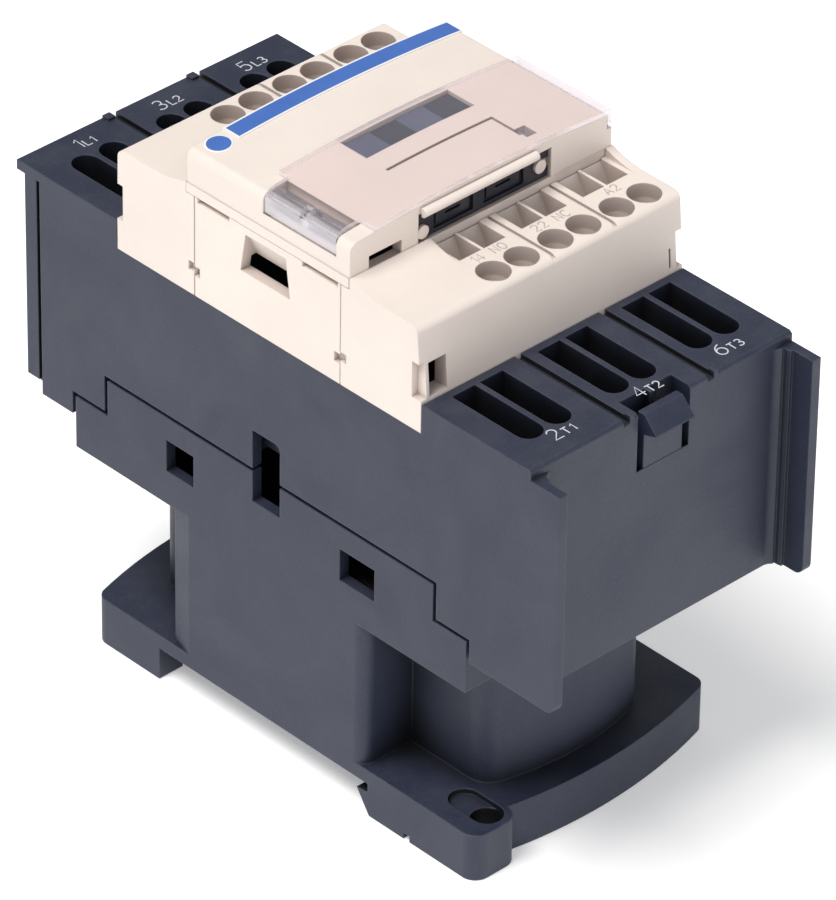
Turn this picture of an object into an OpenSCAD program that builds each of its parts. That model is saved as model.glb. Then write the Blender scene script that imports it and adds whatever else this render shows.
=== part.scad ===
// Three-pole contactor with spring terminals, for a 35 mm DIN rail.
// +X runs along the rail, +Y from the load end to the line end, and +Z away from the
// mounting plane. All lengths are in millimetres.

/* [Overall size] */
// Width along the rail
body_w = 45; // [45:0.5:47]
// Outer face of the load end wall
near_end_y = -44.5; // [-46:0.5:-44]
// Outer face of the line end wall
far_end_y = 45.2; // [45:0.2:46]
// Tips of the two guard wings at the load end
near_wing_y = -49.5; // [-51:0.5:-48]
// Edge of the roof that overhangs the line end
far_lip_y = 49.5; // [49:0.5:51]
// Middle plane of the magnet and the contacts
mid_y = 2.5; // [2.5:0.5:2.5]

/* [Heights] */
// Thickness of the two mounting feet
foot_h = 7; // [6.5:0.5:7.5]
// Ceiling of the rail channel
rail_ceiling_z = 4.9; // [4.7:0.1:5.1]
// Underside of the wide part of the magnet housing
magnet_block_z = 28.7; // [28:0.1:29.5]
// Underside of the terminal ends
terminal_floor_z = 33.6; // [33:0.1:34]
// Stepped seam between magnet housing and contact housing, low part
seam_step_z = 36.5; // [36:0.1:37]
// Stepped seam, high part
seam_z = 42; // [41.8:0.1:42.1]
// Lower edge of the cream front parts
skirt_z = 63.4; // [63.4:0.1:63.6]
// Top face of the power terminal ends
terminal_top_z = 67.6; // [67:0.1:68]
// Top face of the auxiliary terminal blocks
aux_top_z = 78.5; // [78.3:0.1:78.7]
// Highest line of the front cover
crown_z = 85.3; // [85:0.1:85.5]
// Drop of the front cover from its middle to its side edges
crown_drop = 1; // [0.8:0.1:1.2]

/* [Walls and gaps] */
// Thickness of the moulded walls
wall = 1.6; // [1.4:0.1:1.7]
// Shadow gap at the seam between the two dark housings
seam_gap = 0.6; // [0.4:0.1:0.7]

/* [Rail mounting] */
// Middle of the rail channel
rail_y = 2.3; // [2.2:0.1:2.4]
// Width of the rail
rail_w = 35; // [35]
// Travel of the sprung rail clip
clip_travel = 3; // [2:0.5:3]
// Diameter of the two fixing holes
screw_d = 4.4; // [4.2:0.1:4.6]
// Distance between the fixing holes along the rail
screw_pitch_x = 35; // [35]
// Distance between the fixing holes across the rail
screw_pitch_y = 60; // [60]

/* [Power poles] */
// Distance between poles
pole_pitch = 14.5; // [14.3:0.1:14.6]
// Sideways offset of the middle pole
pole_offset = 0.3; // [0:0.1:0.4]
// Width of one terminal slot
slot_w = 3.9; // [3.7:0.1:3.9]
// Distance between the two slots of a pole
slot_pitch = 4.7; // [4.6:0.1:4.8]

/* [Auxiliary terminals] */
// Distance between terminal groups
aux_pitch = 10.6; // [10.4:0.1:10.8]
// Middle terminal group
aux_offset = 6; // [5.9:0.1:6.4]
// Width of a square tool hole
tool_w = 3.7; // [3.5:0.1:3.8]
// Diameter of a round wire hole
wire_d = 4.5; // [4.2:0.1:4.6]

/* [Mechanism] */
// Travel of the contact carrier from open to closed
carrier_travel = 4.4; // [4.4]
// Open gap of a contact
contact_gap = 3.3; // [3.3]
// Diameter of the armature pin
pin_d = 3; // [2.8:0.1:3.2]

/* [Clear flap] */
// Thickness of the flap
flap_t = 0.65; // [0.6:0.05:0.7]
// Front edge of the flap
flap_front_y = -12.3; // [-12.3]
// Rear edge of the flap
flap_rear_y = 4.9; // [4.9]

/* [Hidden] */
$fn = 48;
eps = 0.01;
half_w = body_w / 2;
in_x = half_w - wall;
crown_r = (half_w * half_w + crown_drop * crown_drop) / (2 * crown_drop);

// Pole and terminal positions along X
pole_x = [for (i = [-1:1]) pole_offset + i * pole_pitch];
aux_x = [for (i = [-1:1]) aux_offset + i * aux_pitch];
partition_t = 1.7;
partition_x = [for (i = [0:1]) (pole_x[i] + pole_x[i + 1]) / 2];

// Magnet circuit: heights of the fixed half and of the moving half at rest
core_base_z = 10;
core_yoke_z = 18;
core_pole_z = 25.7;
armature_pole_z = core_pole_z + carrier_travel + 0.1;
armature_yoke_z = 37.2;
armature_top_z = 44.2;
core_half_y = 25;
core_stack = 15;
leg_outer = 6.5;
leg_middle = 12;
ring_pitch = 3.4;
bobbin_z = 18.4;
bobbin_top_z = 32.2;
pin_z = 40.7;
pin_bore_r = pin_d / 2 + 0.02;

// Power contacts
bar_z = 47.5;
bar_t = 1.5;
tip_t = 1;
tip_y = 7.75;
bridge_z = bar_z + bar_t + 2 * tip_t + contact_gap;
bridge_t = 1.2;
carrier_z = 44.4;
carrier_half_y = 4;
spring_seat_z = 60;
carrier_bar_top = 61.7;
cover_z = 62;

// Auxiliary contacts
aux_bar_z = 66.5;
aux_bar_t = 1;
aux_tip_t = 0.8;
aux_tip_y = 7.1;
aux_open_z = aux_bar_z + aux_bar_t + 2 * aux_tip_t + contact_gap;
aux_closed_z = 70.6;
aux_high_z = 73;
aux_spring_top = 76.4;
aux_spring_foot = 66.4;
overtravel = carrier_travel - contact_gap;

// Hinge line of the clear flap
hinge_x = -20.7;
hinge_z = 83.6;
barrel_r = 1.5;
hinge_bore_r = 0.65;
hinge_pin_r = 0.6;
pocket_r = 2.6;
pocket_y = [-9.8, 3.4];

// Edges of the rail
rail_near = rail_y - rail_w / 2;
rail_far = rail_y + rail_w / 2;

// Rail clip: its pocket, its springs and the posts they push against
clip_pocket_z = 3.7;
clip_spring_x = [-14.5, 8];
clip_post_y = 31.4;

// Terminal ends and arc chambers
floor_z = 7.3;
roof_z = 58;
slot_inner_y = -26.5;
slot_outer_y = -39.8;
chamber_x = 19.6;
chamber_y = [-42.9, -27.1];
arc_y = [-25.4, 30.4];
well_half_y = 4.7;
strip_notch_y = [-13.3, 15.2];
latch_x = [-3.1, 3.5];
latch_axis_y = -43.5;
latch_axis_z = 58.9;
latch_root_r = 0.7;
aux_clamp_pitch = 4.7;
wire_pitch = 4.8;

// Socket in the front cover: pegs and pins
peg_x = [-9.95, 10.1];
peg_z = [80.85, 81.7];
peg_r = 0.95;
peg_web_y = [0.1, 1];
socket_pin_x = [-4.5, 4.1];

// Colours
dark = [0.24, 0.26, 0.31];
cream = [0.95, 0.9, 0.83];
steel = [0.72, 0.73, 0.75];
copper = [0.76, 0.48, 0.32];
silver = [0.85, 0.86, 0.88];
blue = [0.16, 0.36, 0.7];

// ---- helpers ----

// A box between two corners
module block(x0, x1, y0, y1, z0, z1) {
    translate([x0, y0, z0]) cube([x1 - x0, y1 - y0, z1 - z0]);
}

// A profile in the YZ plane, extruded along X
module along_x(x0, x1) {
    translate([x0, 0, 0]) rotate([90, 0, 90]) linear_extrude(x1 - x0) children();
}

// A profile in the XZ plane, extruded along Y
module along_y(y0, y1) {
    translate([0, y1, 0]) rotate([90, 0, 0]) linear_extrude(y1 - y0) children();
}

// A round bar along X, and one along Y
module rod_x(x0, x1, y, z, r) {
    translate([x0, y, z]) rotate([0, 90, 0]) cylinder(h = x1 - x0, r = r);
}
module rod_y(y0, y1, x, z, r) {
    translate([x, y1, z]) rotate([90, 0, 0]) cylinder(h = y1 - y0, r = r);
}

// Carries a near-side shape over to the line side
module far_side() {
    translate([0, 2 * mid_y, 0]) mirror([0, 1, 0]) children();
}

// Repeats a shape on the right-hand side of the body
module both_sides() {
    children();
    mirror([1, 0, 0]) children();
}

// An upright helical spring, shown as a stack of wire rings
module ring_spring(x, y, z0, z1, r, wire, turns) {
    pitch = (z1 - z0 - wire) / turns;
    translate([x, y, z0]) {
        for (i = [0:turns])
            translate([0, 0, wire / 2 + i * pitch]) rotate_extrude() translate([r, 0]) circle(d = wire);
        for (i = [0:turns - 1], side = [-1, 1])
            translate([side * r, 0, wire / 2 + i * pitch]) cylinder(h = pitch, d = wire * 0.8);
    }
}

// ---- magnet housing and rail mounting ----

// A corner where a straight side meets a bow, rounded: the corner circle touches both
module bow_corner(half_x, near_y, bow_r, corner) {
    cx = half_x - corner;
    bow_y = near_y + bow_r;
    cy = bow_y - sqrt(pow(bow_r - corner, 2) - cx * cx);
    touch = [cx, cy - bow_y] * bow_r / (bow_r - corner) + [0, bow_y];
    difference() {
        polygon([[cx, cy], [half_x + 1, cy], [half_x + 1, near_y - 1], [touch[0], near_y - 1], touch]);
        translate([cx, cy]) circle(r = corner);
    }
}

// Plan with straight sides and bowed ends
module bowed_plan(half_x, near_y, far_y, bow_r, corner) {
    difference() {
        intersection() {
            translate([-half_x, -40]) square([2 * half_x, 80]);
            translate([0, near_y + bow_r]) circle(r = bow_r, $fn = 96);
            translate([0, far_y - bow_r]) circle(r = bow_r, $fn = 96);
        }
        for (m = [0, 1]) mirror([m, 0]) {
            bow_corner(half_x, near_y, bow_r, corner);
            mirror([0, 1]) bow_corner(half_x, -far_y, bow_r, corner);
        }
    }
}

// Plan of the two feet
module foot_plan() {
    bowed_plan(half_w, -35.5, 38.3, 75, 2);
}

// The corner ear that holds the near fixing hole
module ear_plan() {
    corner = 2.2;
    x0 = -half_w;
    x1 = -14.7;
    tip = -36.3;
    translate([x0, tip + corner]) square([x1 - x0, 10]);
    translate([x0 + corner, tip]) square([x1 - x0 - 2 * corner, 10]);
    for (x = [x0 + corner, x1 - corner]) translate([x, tip + corner]) circle(r = corner);
}

// The middle column, wide enough for the core; inset gives the plan of its hollow
module column_plan(inset) {
    bowed_plan(14 - inset, -31.2 + inset, 33.8 - inset, 42 - inset, 3.5 - inset);
}

// Plan of the coil bulge: round near corners, long shallow chamfers at the far ones
module bulge_plan() {
    near_y = -15.7;
    far_y = 20.5;
    round_r = 1.8;
    polygon([
        [-half_w, near_y + round_r], [-half_w + round_r, near_y], [half_w - round_r, near_y],
        [half_w, near_y + round_r], [half_w, far_y - 3.4], [half_w - 0.7, far_y],
        [-half_w + 0.7, far_y], [-half_w, far_y - 3.4]
    ]);
    for (s = [-1, 1]) translate([s * (half_w - round_r), near_y + round_r]) circle(r = round_r);
}

// Where the wide top of the magnet housing ends, and where its high part ends
block_near_y = -33.9;
block_far_y = 38.7;
high_near_y = -27.9;
high_far_y = 32.5;

module magnet_housing() {
    lip_z = 3.6;
    color(dark) difference() {
        union() {
            linear_extrude(foot_h) union() {
                foot_plan();
                ear_plan();
            }
            linear_extrude(terminal_floor_z) column_plan(0);
            linear_extrude(magnet_block_z + 1) bulge_plan();
            along_x(-half_w, half_w) polygon([
                [block_near_y, magnet_block_z], [block_near_y, seam_step_z],
                [high_near_y, seam_step_z], [high_near_y, seam_z],
                [high_far_y, seam_z], [high_far_y, seam_step_z],
                [block_far_y, seam_step_z], [block_far_y, magnet_block_z]
            ]);
        }
        // Rail channel with an undercut under the near lip
        along_x(-half_w - 1, half_w + 1) polygon([
            [rail_near - 1.7, -1], [rail_near - 1.7, 0], [rail_near + 0.6, lip_z - 0.2],
            [rail_near - 1.4, lip_z], [rail_near - 1.4, rail_ceiling_z],
            [rail_far + 3.1, rail_ceiling_z], [rail_far + 3.1, -1]
        ]);
        // Pocket for the sprung clip, with a post left behind each of its springs
        difference() {
            block(-18.4, 12, 22, 34.4, -1, clip_pocket_z);
            for (x = clip_spring_x) block(x - 2, x + 2, clip_post_y, 33, 0.5, 5);
        }
        // Saw cut under the near foot
        block(-half_w - 1, half_w + 1, -24.4, -23.3, -1, 0.9);
        // Fixing holes: round below, opened to a short slot above
        for (s = [-1, 1]) {
            x = s * screw_pitch_x / 2;
            y = -3.2 + s * screw_pitch_y / 2;
            translate([x, y, -1]) cylinder(h = foot_h + 2, d = screw_d);
            slot_end = y - s * 4;
            translate([x, slot_end, foot_h - 0.8]) cylinder(h = 2, d = screw_d);
            block(x - screw_d / 2, x + screw_d / 2, min(y, slot_end), max(y, slot_end),
                foot_h - 0.8, foot_h + 1);
        }
        // Room for the core, the coil and the terminal ends
        translate([0, 0, floor_z]) linear_extrude(magnet_block_z + wall + eps - floor_z) column_plan(wall);
        block(-in_x, in_x, -14.1, 18.9, floor_z, 50);
        block(-in_x, in_x, high_near_y + wall, high_far_y - wall, magnet_block_z + wall, 50);
        block(-in_x, in_x, block_near_y + wall, block_far_y - wall, magnet_block_z + wall, seam_step_z - 1.2);
        // Moulding windows in both side walls
        both_sides() {
            block(-half_w - 1, -in_x + 1, 16.15, 21.3, 33.8, 38.6);
            block(-half_w - 1, -in_x + 1, -17.4, -11.05, 33.8, 38.6);
            block(-half_w - 1, -in_x + 1, 0, 5.1, 37.5, 50);
        }
    }
}

module rail_clip() {
    tip_y = rail_far - 0.8;
    rear_y = 30.2;
    top_z = clip_pocket_z - 0.3;
    color(dark) difference() {
        along_x(-18.1, 11.7) polygon([
            [tip_y, top_z], [tip_y, 1.2], [tip_y + 0.8, 0.3], [rear_y, 0.3], [rear_y, top_z]
        ]);
        // Notches that straddle the springs and their posts
        for (x = clip_spring_x) block(x - 2.4, x + 2.4, clip_post_y - 7, rear_y + 1, 0, 5);
        // Grip for a screwdriver
        block(-7, 0.6, 24.5, 27.5, -1, 2.2);
    }
}

// The clip's springs, at the length they have with the clip pulled right back
module rail_clip_springs() {
    length = 7 - clip_travel - 0.1;
    color(steel) for (x = clip_spring_x)
        translate([x, clip_post_y, 1.9]) rotate([90, 0, 0]) ring_spring(0, 0, 0, length, 1.1, 0.4, 5);
}

// ---- magnet, coil and armature ----

module core_pad() {
    color([0.12, 0.12, 0.12]) difference() {
        block(-9, 9, mid_y - 22, mid_y + 22, floor_z, core_base_z);
        for (y = [mid_y - 12, mid_y + 12]) block(-5, 5, y - 5, y + 5, 7, core_base_z - 1);
    }
}

// E-shaped stack seen from the side; the legs point up from base to tip
module e_profile(base, yoke, tip) {
    polygon([
        [mid_y - core_half_y, base], [mid_y + core_half_y, base],
        [mid_y + core_half_y, tip], [mid_y + core_half_y - leg_outer, tip],
        [mid_y + core_half_y - leg_outer, yoke], [mid_y + leg_middle / 2, yoke],
        [mid_y + leg_middle / 2, tip], [mid_y - leg_middle / 2, tip],
        [mid_y - leg_middle / 2, yoke], [mid_y - core_half_y + leg_outer, yoke],
        [mid_y - core_half_y + leg_outer, tip], [mid_y - core_half_y, tip]
    ]);
}

module fixed_core() {
    near_face = mid_y - core_half_y;
    groove = [near_face + ring_pitch - 0.4, near_face + ring_pitch + 0.4];
    color(steel) difference() {
        along_x(-core_stack / 2, core_stack / 2) e_profile(core_base_z, core_yoke_z, core_pole_z);
        // Grooves for the shading rings
        block(-8, 8, groove[0], groove[1], core_pole_z - 3, core_pole_z + 1);
        far_side() block(-8, 8, groove[0], groove[1], core_pole_z - 3, core_pole_z + 1);
        // Rivet heads are let in at the yoke
        for (y = [mid_y - 16, mid_y + 16]) rod_x(-8, -core_stack / 2 + 0.6, y, 14, 2);
    }
}

module shading_rings() {
    color(copper) union() {
        shading_ring();
        far_side() shading_ring();
    }
}
module shading_ring() {
    near_face = mid_y - core_half_y;
    difference() {
        block(-8.5, 8.5, near_face - 0.7, near_face + ring_pitch + 0.3, core_pole_z - 2.8, core_pole_z - 0.6);
        block(-7.6, 7.6, near_face - 0.1, near_face + ring_pitch - 0.3, core_pole_z - 4, core_pole_z + 1);
    }
}

module coil_bobbin() {
    tube_x = 8.4;
    tube_y = 6.9;
    flange = 1.2;
    color([0.13, 0.13, 0.14]) difference() {
        union() {
            block(-19, 19, mid_y - 16.3, mid_y + 16.3, bobbin_z, bobbin_z + flange);
            block(-19, 19, mid_y - 16.3, mid_y + 16.3, bobbin_top_z - flange, bobbin_top_z);
            block(-tube_x - 1, tube_x + 1, mid_y - tube_y - 1, mid_y + tube_y + 1, bobbin_z, bobbin_top_z);
        }
        block(-tube_x, tube_x, mid_y - tube_y, mid_y + tube_y, 0, 50);
    }
}

module coil_winding() {
    r = 4;
    x = 17.8;
    y = 15.2;
    color([0.62, 0.3, 0.16]) difference() {
        translate([0, mid_y, bobbin_z + 1.2]) linear_extrude(bobbin_top_z - bobbin_z - 2.4) union() {
            translate([-x + r, -y]) square([2 * (x - r), 2 * y]);
            translate([-x, -y + r]) square([2 * x, 2 * (y - r)]);
            for (sx = [-1, 1], sy = [-1, 1]) translate([sx * (x - r), sy * (y - r)]) circle(r = r);
        }
        block(-9.4, 9.4, mid_y - 7.9, mid_y + 7.9, 0, 50);
    }
}

// Strip from the coil up the side wall to its clamp
module coil_terminal() {
    strip_x = 20.2;
    color(copper) union() {
        block(strip_x, strip_x + 0.5, -13, -10.2, bobbin_top_z, aux_bar_z + 1);
        block(16.2, strip_x + 0.5, -13, -10.2, bobbin_top_z, bobbin_top_z + 0.6);
        block(13.4, strip_x + 0.5, -22, -10.2, aux_bar_z, aux_bar_z + aux_bar_t);
    }
}
module coil_terminal_a2() {
    coil_terminal();
}
module coil_terminal_a1() {
    far_side() coil_terminal();
}

module return_springs() {
    color(steel) for (x = [-13.7, 13.7])
        ring_spring(x, mid_y, bobbin_top_z, carrier_z, 2.6, 0.6, 6);
}

module armature() {
    color(steel) difference() {
        along_x(-core_stack / 2, core_stack / 2)
            e_profile(armature_top_z, armature_yoke_z, armature_pole_z);
        rod_x(-20, 20, mid_y, pin_z, pin_bore_r);
    }
}

module armature_pin() {
    color(steel) rod_x(-10.3, 10.3, mid_y, pin_z, pin_d / 2);
}

// ---- moving contacts ----

module contact_carrier() {
    y0 = mid_y - carrier_half_y;
    y1 = mid_y + carrier_half_y;
    column_x = [aux_x[0] - 4.3, aux_x[1] + 4.3];
    stem_x = -8.05;
    stem_y = [0, 4.55];
    stem_top_z = 84.75;
    block_w = 4.525;
    color(dark) difference() {
        union() {
            block(-19.6, 20.2, y0, y1, carrier_z, carrier_bar_top);
            both_sides() block(7.9, 10.3, y0, y1, 38.6, carrier_z + eps);
            block(column_x[0], column_x[1], y0, y1, carrier_bar_top - eps, 77.6);
            // Indicator blocks seen through the window of the front cover
            for (i = [0:3]) block(stem_x + i * block_w, stem_x + (i + 1) * block_w, stem_y[0], stem_y[1],
                77, stem_top_z - (i % 2) * 0.1);
        }
        rod_x(-20, 20, mid_y, pin_z, pin_bore_r);
        // Windows for the power bridges
        for (x = pole_x) block(x - 3.9, x + 3.9, y0 - 1, y1 + 1, bridge_z, spring_seat_z);
        // Windows for the auxiliary bridges
        block(aux_x[0] - 3.1, aux_x[0] + 3.1, y0 - 1, y1 + 1, aux_open_z, aux_spring_top);
        block(aux_x[1] - 3.1, aux_x[1] + 3.1, y0 - 1, y1 + 1, aux_spring_foot,
            aux_closed_z + 0.8 + overtravel + 0.05);
    }
}

// Bridge with two silver tips; up is 1 where the tips look up
module bridge(x, z, w, t, half_l, tip_pos, tip_h, tip_d, up) {
    color(copper) block(x - w / 2, x + w / 2, mid_y - half_l, mid_y + half_l, z, z + t);
    color(silver) for (s = [-1, 1])
        translate([x, mid_y + s * tip_pos, up ? z + t : z - tip_h]) cylinder(h = tip_h, d = tip_d);
}
module main_bridge(i) {
    bridge(pole_x[i], bridge_z, 6, bridge_t, 9.5, tip_y, tip_t, 3.6, false);
}
module main_bridge_1() main_bridge(0);
module main_bridge_2() main_bridge(1);
module main_bridge_3() main_bridge(2);

module bridge_spring(i) {
    color(steel) ring_spring(pole_x[i], mid_y, bridge_z + bridge_t, spring_seat_z, 2.2, 0.5, 4);
}
module bridge_spring_1() bridge_spring(0);
module bridge_spring_2() bridge_spring(1);
module bridge_spring_3() bridge_spring(2);

module aux_bridge_no() {
    bridge(aux_x[0], aux_open_z, 3, 0.8, 8.4, aux_tip_y, aux_tip_t, 2.4, false);
}
module aux_bridge_nc() {
    bridge(aux_x[1], aux_closed_z, 3, 0.8, 8.4, aux_tip_y, aux_tip_t, 2.4, true);
}
module aux_spring_no() {
    color(steel) ring_spring(aux_x[0], mid_y, aux_open_z + 0.8, aux_spring_top, 1.7, 0.4, 3);
}
module aux_spring_nc() {
    color(steel) ring_spring(aux_x[1], mid_y, aux_spring_foot, aux_closed_z, 1.7, 0.4, 4);
}

// ---- fixed contacts and clamps ----

// Power bar: silver tip by the carrier, two tongues under the terminal slots
module power_contact(i) {
    x = pole_x[i];
    color(copper) union() {
        block(x - 3.5, x + 3.5, -29, mid_y - 5.8, bar_z, bar_z + bar_t);
        for (s = [-1, 1]) {
            tx = x + s * slot_pitch / 2;
            block(tx - 0.9, tx + 0.9, -40.5, -29, bar_z, bar_z + bar_t);
        }
    }
    color(silver) translate([x, mid_y - tip_y, bar_z + bar_t]) cylinder(h = tip_t, d = 3.6);
}
module load_contact_1() power_contact(0);
module load_contact_2() power_contact(1);
module load_contact_3() power_contact(2);
module line_contact_1() far_side() power_contact(0);
module line_contact_2() far_side() power_contact(1);
module line_contact_3() far_side() power_contact(2);

// Cage clamp: a round spring loop above the bar and a leg that hooks under it
module cage_clamp(x, w, loop_y, loop_z, r, t, foot_z, window) {
    leg_y = loop_y - r;
    difference() {
        union() {
            along_x(x - w / 2, x + w / 2) translate([loop_y, loop_z]) difference() {
                circle(r = r);
                circle(r = r - t);
            }
            block(x - w / 2, x + w / 2, leg_y, leg_y + t, foot_z, loop_z);
            block(x - w / 2, x + w / 2, leg_y, leg_y + 1.4 * r, foot_z, foot_z + t);
        }
        block(x - window / 2, x + window / 2, leg_y - 1, leg_y + t + 0.2, foot_z + t + 0.6, loop_z - r);
    }
}
module power_clamps(i) {
    color(steel) for (s = [-1, 1])
        cage_clamp(pole_x[i] + s * slot_pitch / 2, 3.4, -31.4, 53.4, 3.3, 0.6, 43.8, 2);
}
module load_clamps_1() power_clamps(0);
module load_clamps_2() power_clamps(1);
module load_clamps_3() power_clamps(2);
module line_clamps_1() far_side() power_clamps(0);
module line_clamps_2() far_side() power_clamps(1);
module line_clamps_3() far_side() power_clamps(2);

// Auxiliary bar: low and straight for the open contact, cranked up for the closed one
module aux_open_bar() {
    x = aux_x[0];
    color(copper) block(x - 3.2, x + 3.2, -22, -17.5, aux_bar_z, aux_bar_z + aux_bar_t);
    color(copper) block(x - 1.5, x + 1.5, -17.5, mid_y - 5.6, aux_bar_z, aux_bar_z + aux_bar_t);
    color(silver) translate([x, mid_y - aux_tip_y, aux_bar_z + aux_bar_t]) cylinder(h = aux_tip_t, d = 2.4);
}
module aux_closed_bar() {
    x = aux_x[1];
    color(copper) union() {
        block(x - 3.2, x + 3.2, -22, -17.5, aux_bar_z, aux_bar_z + aux_bar_t);
        along_x(x - 1.5, x + 1.5) polygon([
            [-17.5, aux_bar_z], [-8.4, aux_bar_z], [-8.4, aux_high_z], [mid_y - 5.6, aux_high_z],
            [mid_y - 5.6, aux_high_z + 1], [-9.4, aux_high_z + 1], [-9.4, aux_bar_z + 1],
            [-17.5, aux_bar_z + 1]
        ]);
    }
    color(silver) translate([x, mid_y - aux_tip_y, aux_high_z - aux_tip_t]) cylinder(h = aux_tip_t, d = 2.4);
}
module aux_contact_14() aux_open_bar();
module aux_contact_13() far_side() aux_open_bar();
module aux_contact_22() aux_closed_bar();
module aux_contact_21() far_side() aux_closed_bar();

// Two small clamps for each auxiliary terminal, standing on the bars
module aux_clamps() {
    color(steel) for (x = aux_x, s = [-1, 1]) along_x(x + s * aux_clamp_pitch / 2 - 1.4,
        x + s * aux_clamp_pitch / 2 + 1.4) translate([-19.4, aux_bar_z + aux_bar_t + 1.7]) difference() {
            circle(r = 1.7);
            circle(r = 1.3);
            translate([0, -3]) square([3, 3]);
        }
}
module aux_clamps_near() aux_clamps();
module aux_clamps_far() far_side() aux_clamps();

// Steel plates that split the arc beside each contact
module arc_plates() {
    color(steel) for (x = pole_x, y = [-13, -17, -21]) difference() {
        block(x - 5.1, x + 5.1, y, y + 0.8, 50.2, 61);
        along_y(y - 1, y + 2) polygon([[x - 2.2, 50], [x + 2.2, 50], [x, 56]]);
    }
}
module arc_plates_near() arc_plates();
module arc_plates_far() far_side() arc_plates();

// ---- contact housing ----

// Slot for a wire and a tool: square at the inner end, round at the outer end
module terminal_slot(x) {
    block(x - slot_w / 2, x + slot_w / 2, slot_outer_y + slot_w / 2, slot_inner_y,
        roof_z - 1, terminal_top_z + 1);
    translate([x, slot_outer_y + slot_w / 2, roof_z - 1]) cylinder(h = 12, d = slot_w);
}

// Hollows of one terminal end: chambers, slots, the floor's seat and the bar passages
module terminal_hollows() {
    bays = [
        [-chamber_x, partition_x[0] - partition_t / 2],
        [partition_x[0] + partition_t / 2, partition_x[1] - partition_t / 2],
        [partition_x[1] + partition_t / 2, chamber_x]
    ];
    for (bay = bays) {
        block(bay[0], bay[1], chamber_y[0], chamber_y[1], 44, roof_z);
        block(bay[0], bay[1], chamber_y[0], -29.9, seam_step_z + 2.1, roof_z);
        block(bay[0], bay[1], chamber_y[0], -35.7, 30, 39);
    }
    block(-chamber_x, chamber_x, chamber_y[0], -35.7, 30, terminal_floor_z + wall + 0.1);
    for (x = pole_x) {
        for (s = [-1, 1]) terminal_slot(x + s * slot_pitch / 2);
        block(x - 3.55, x + 3.55, -28, -25, bar_z, bar_z + bar_t);
    }
    // Shallow grooves between the poles
    for (x = partition_x) block(x + 0.2, x + 1.3, -60, -25, terminal_top_z - 0.8, terminal_top_z + 1);
}

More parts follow.
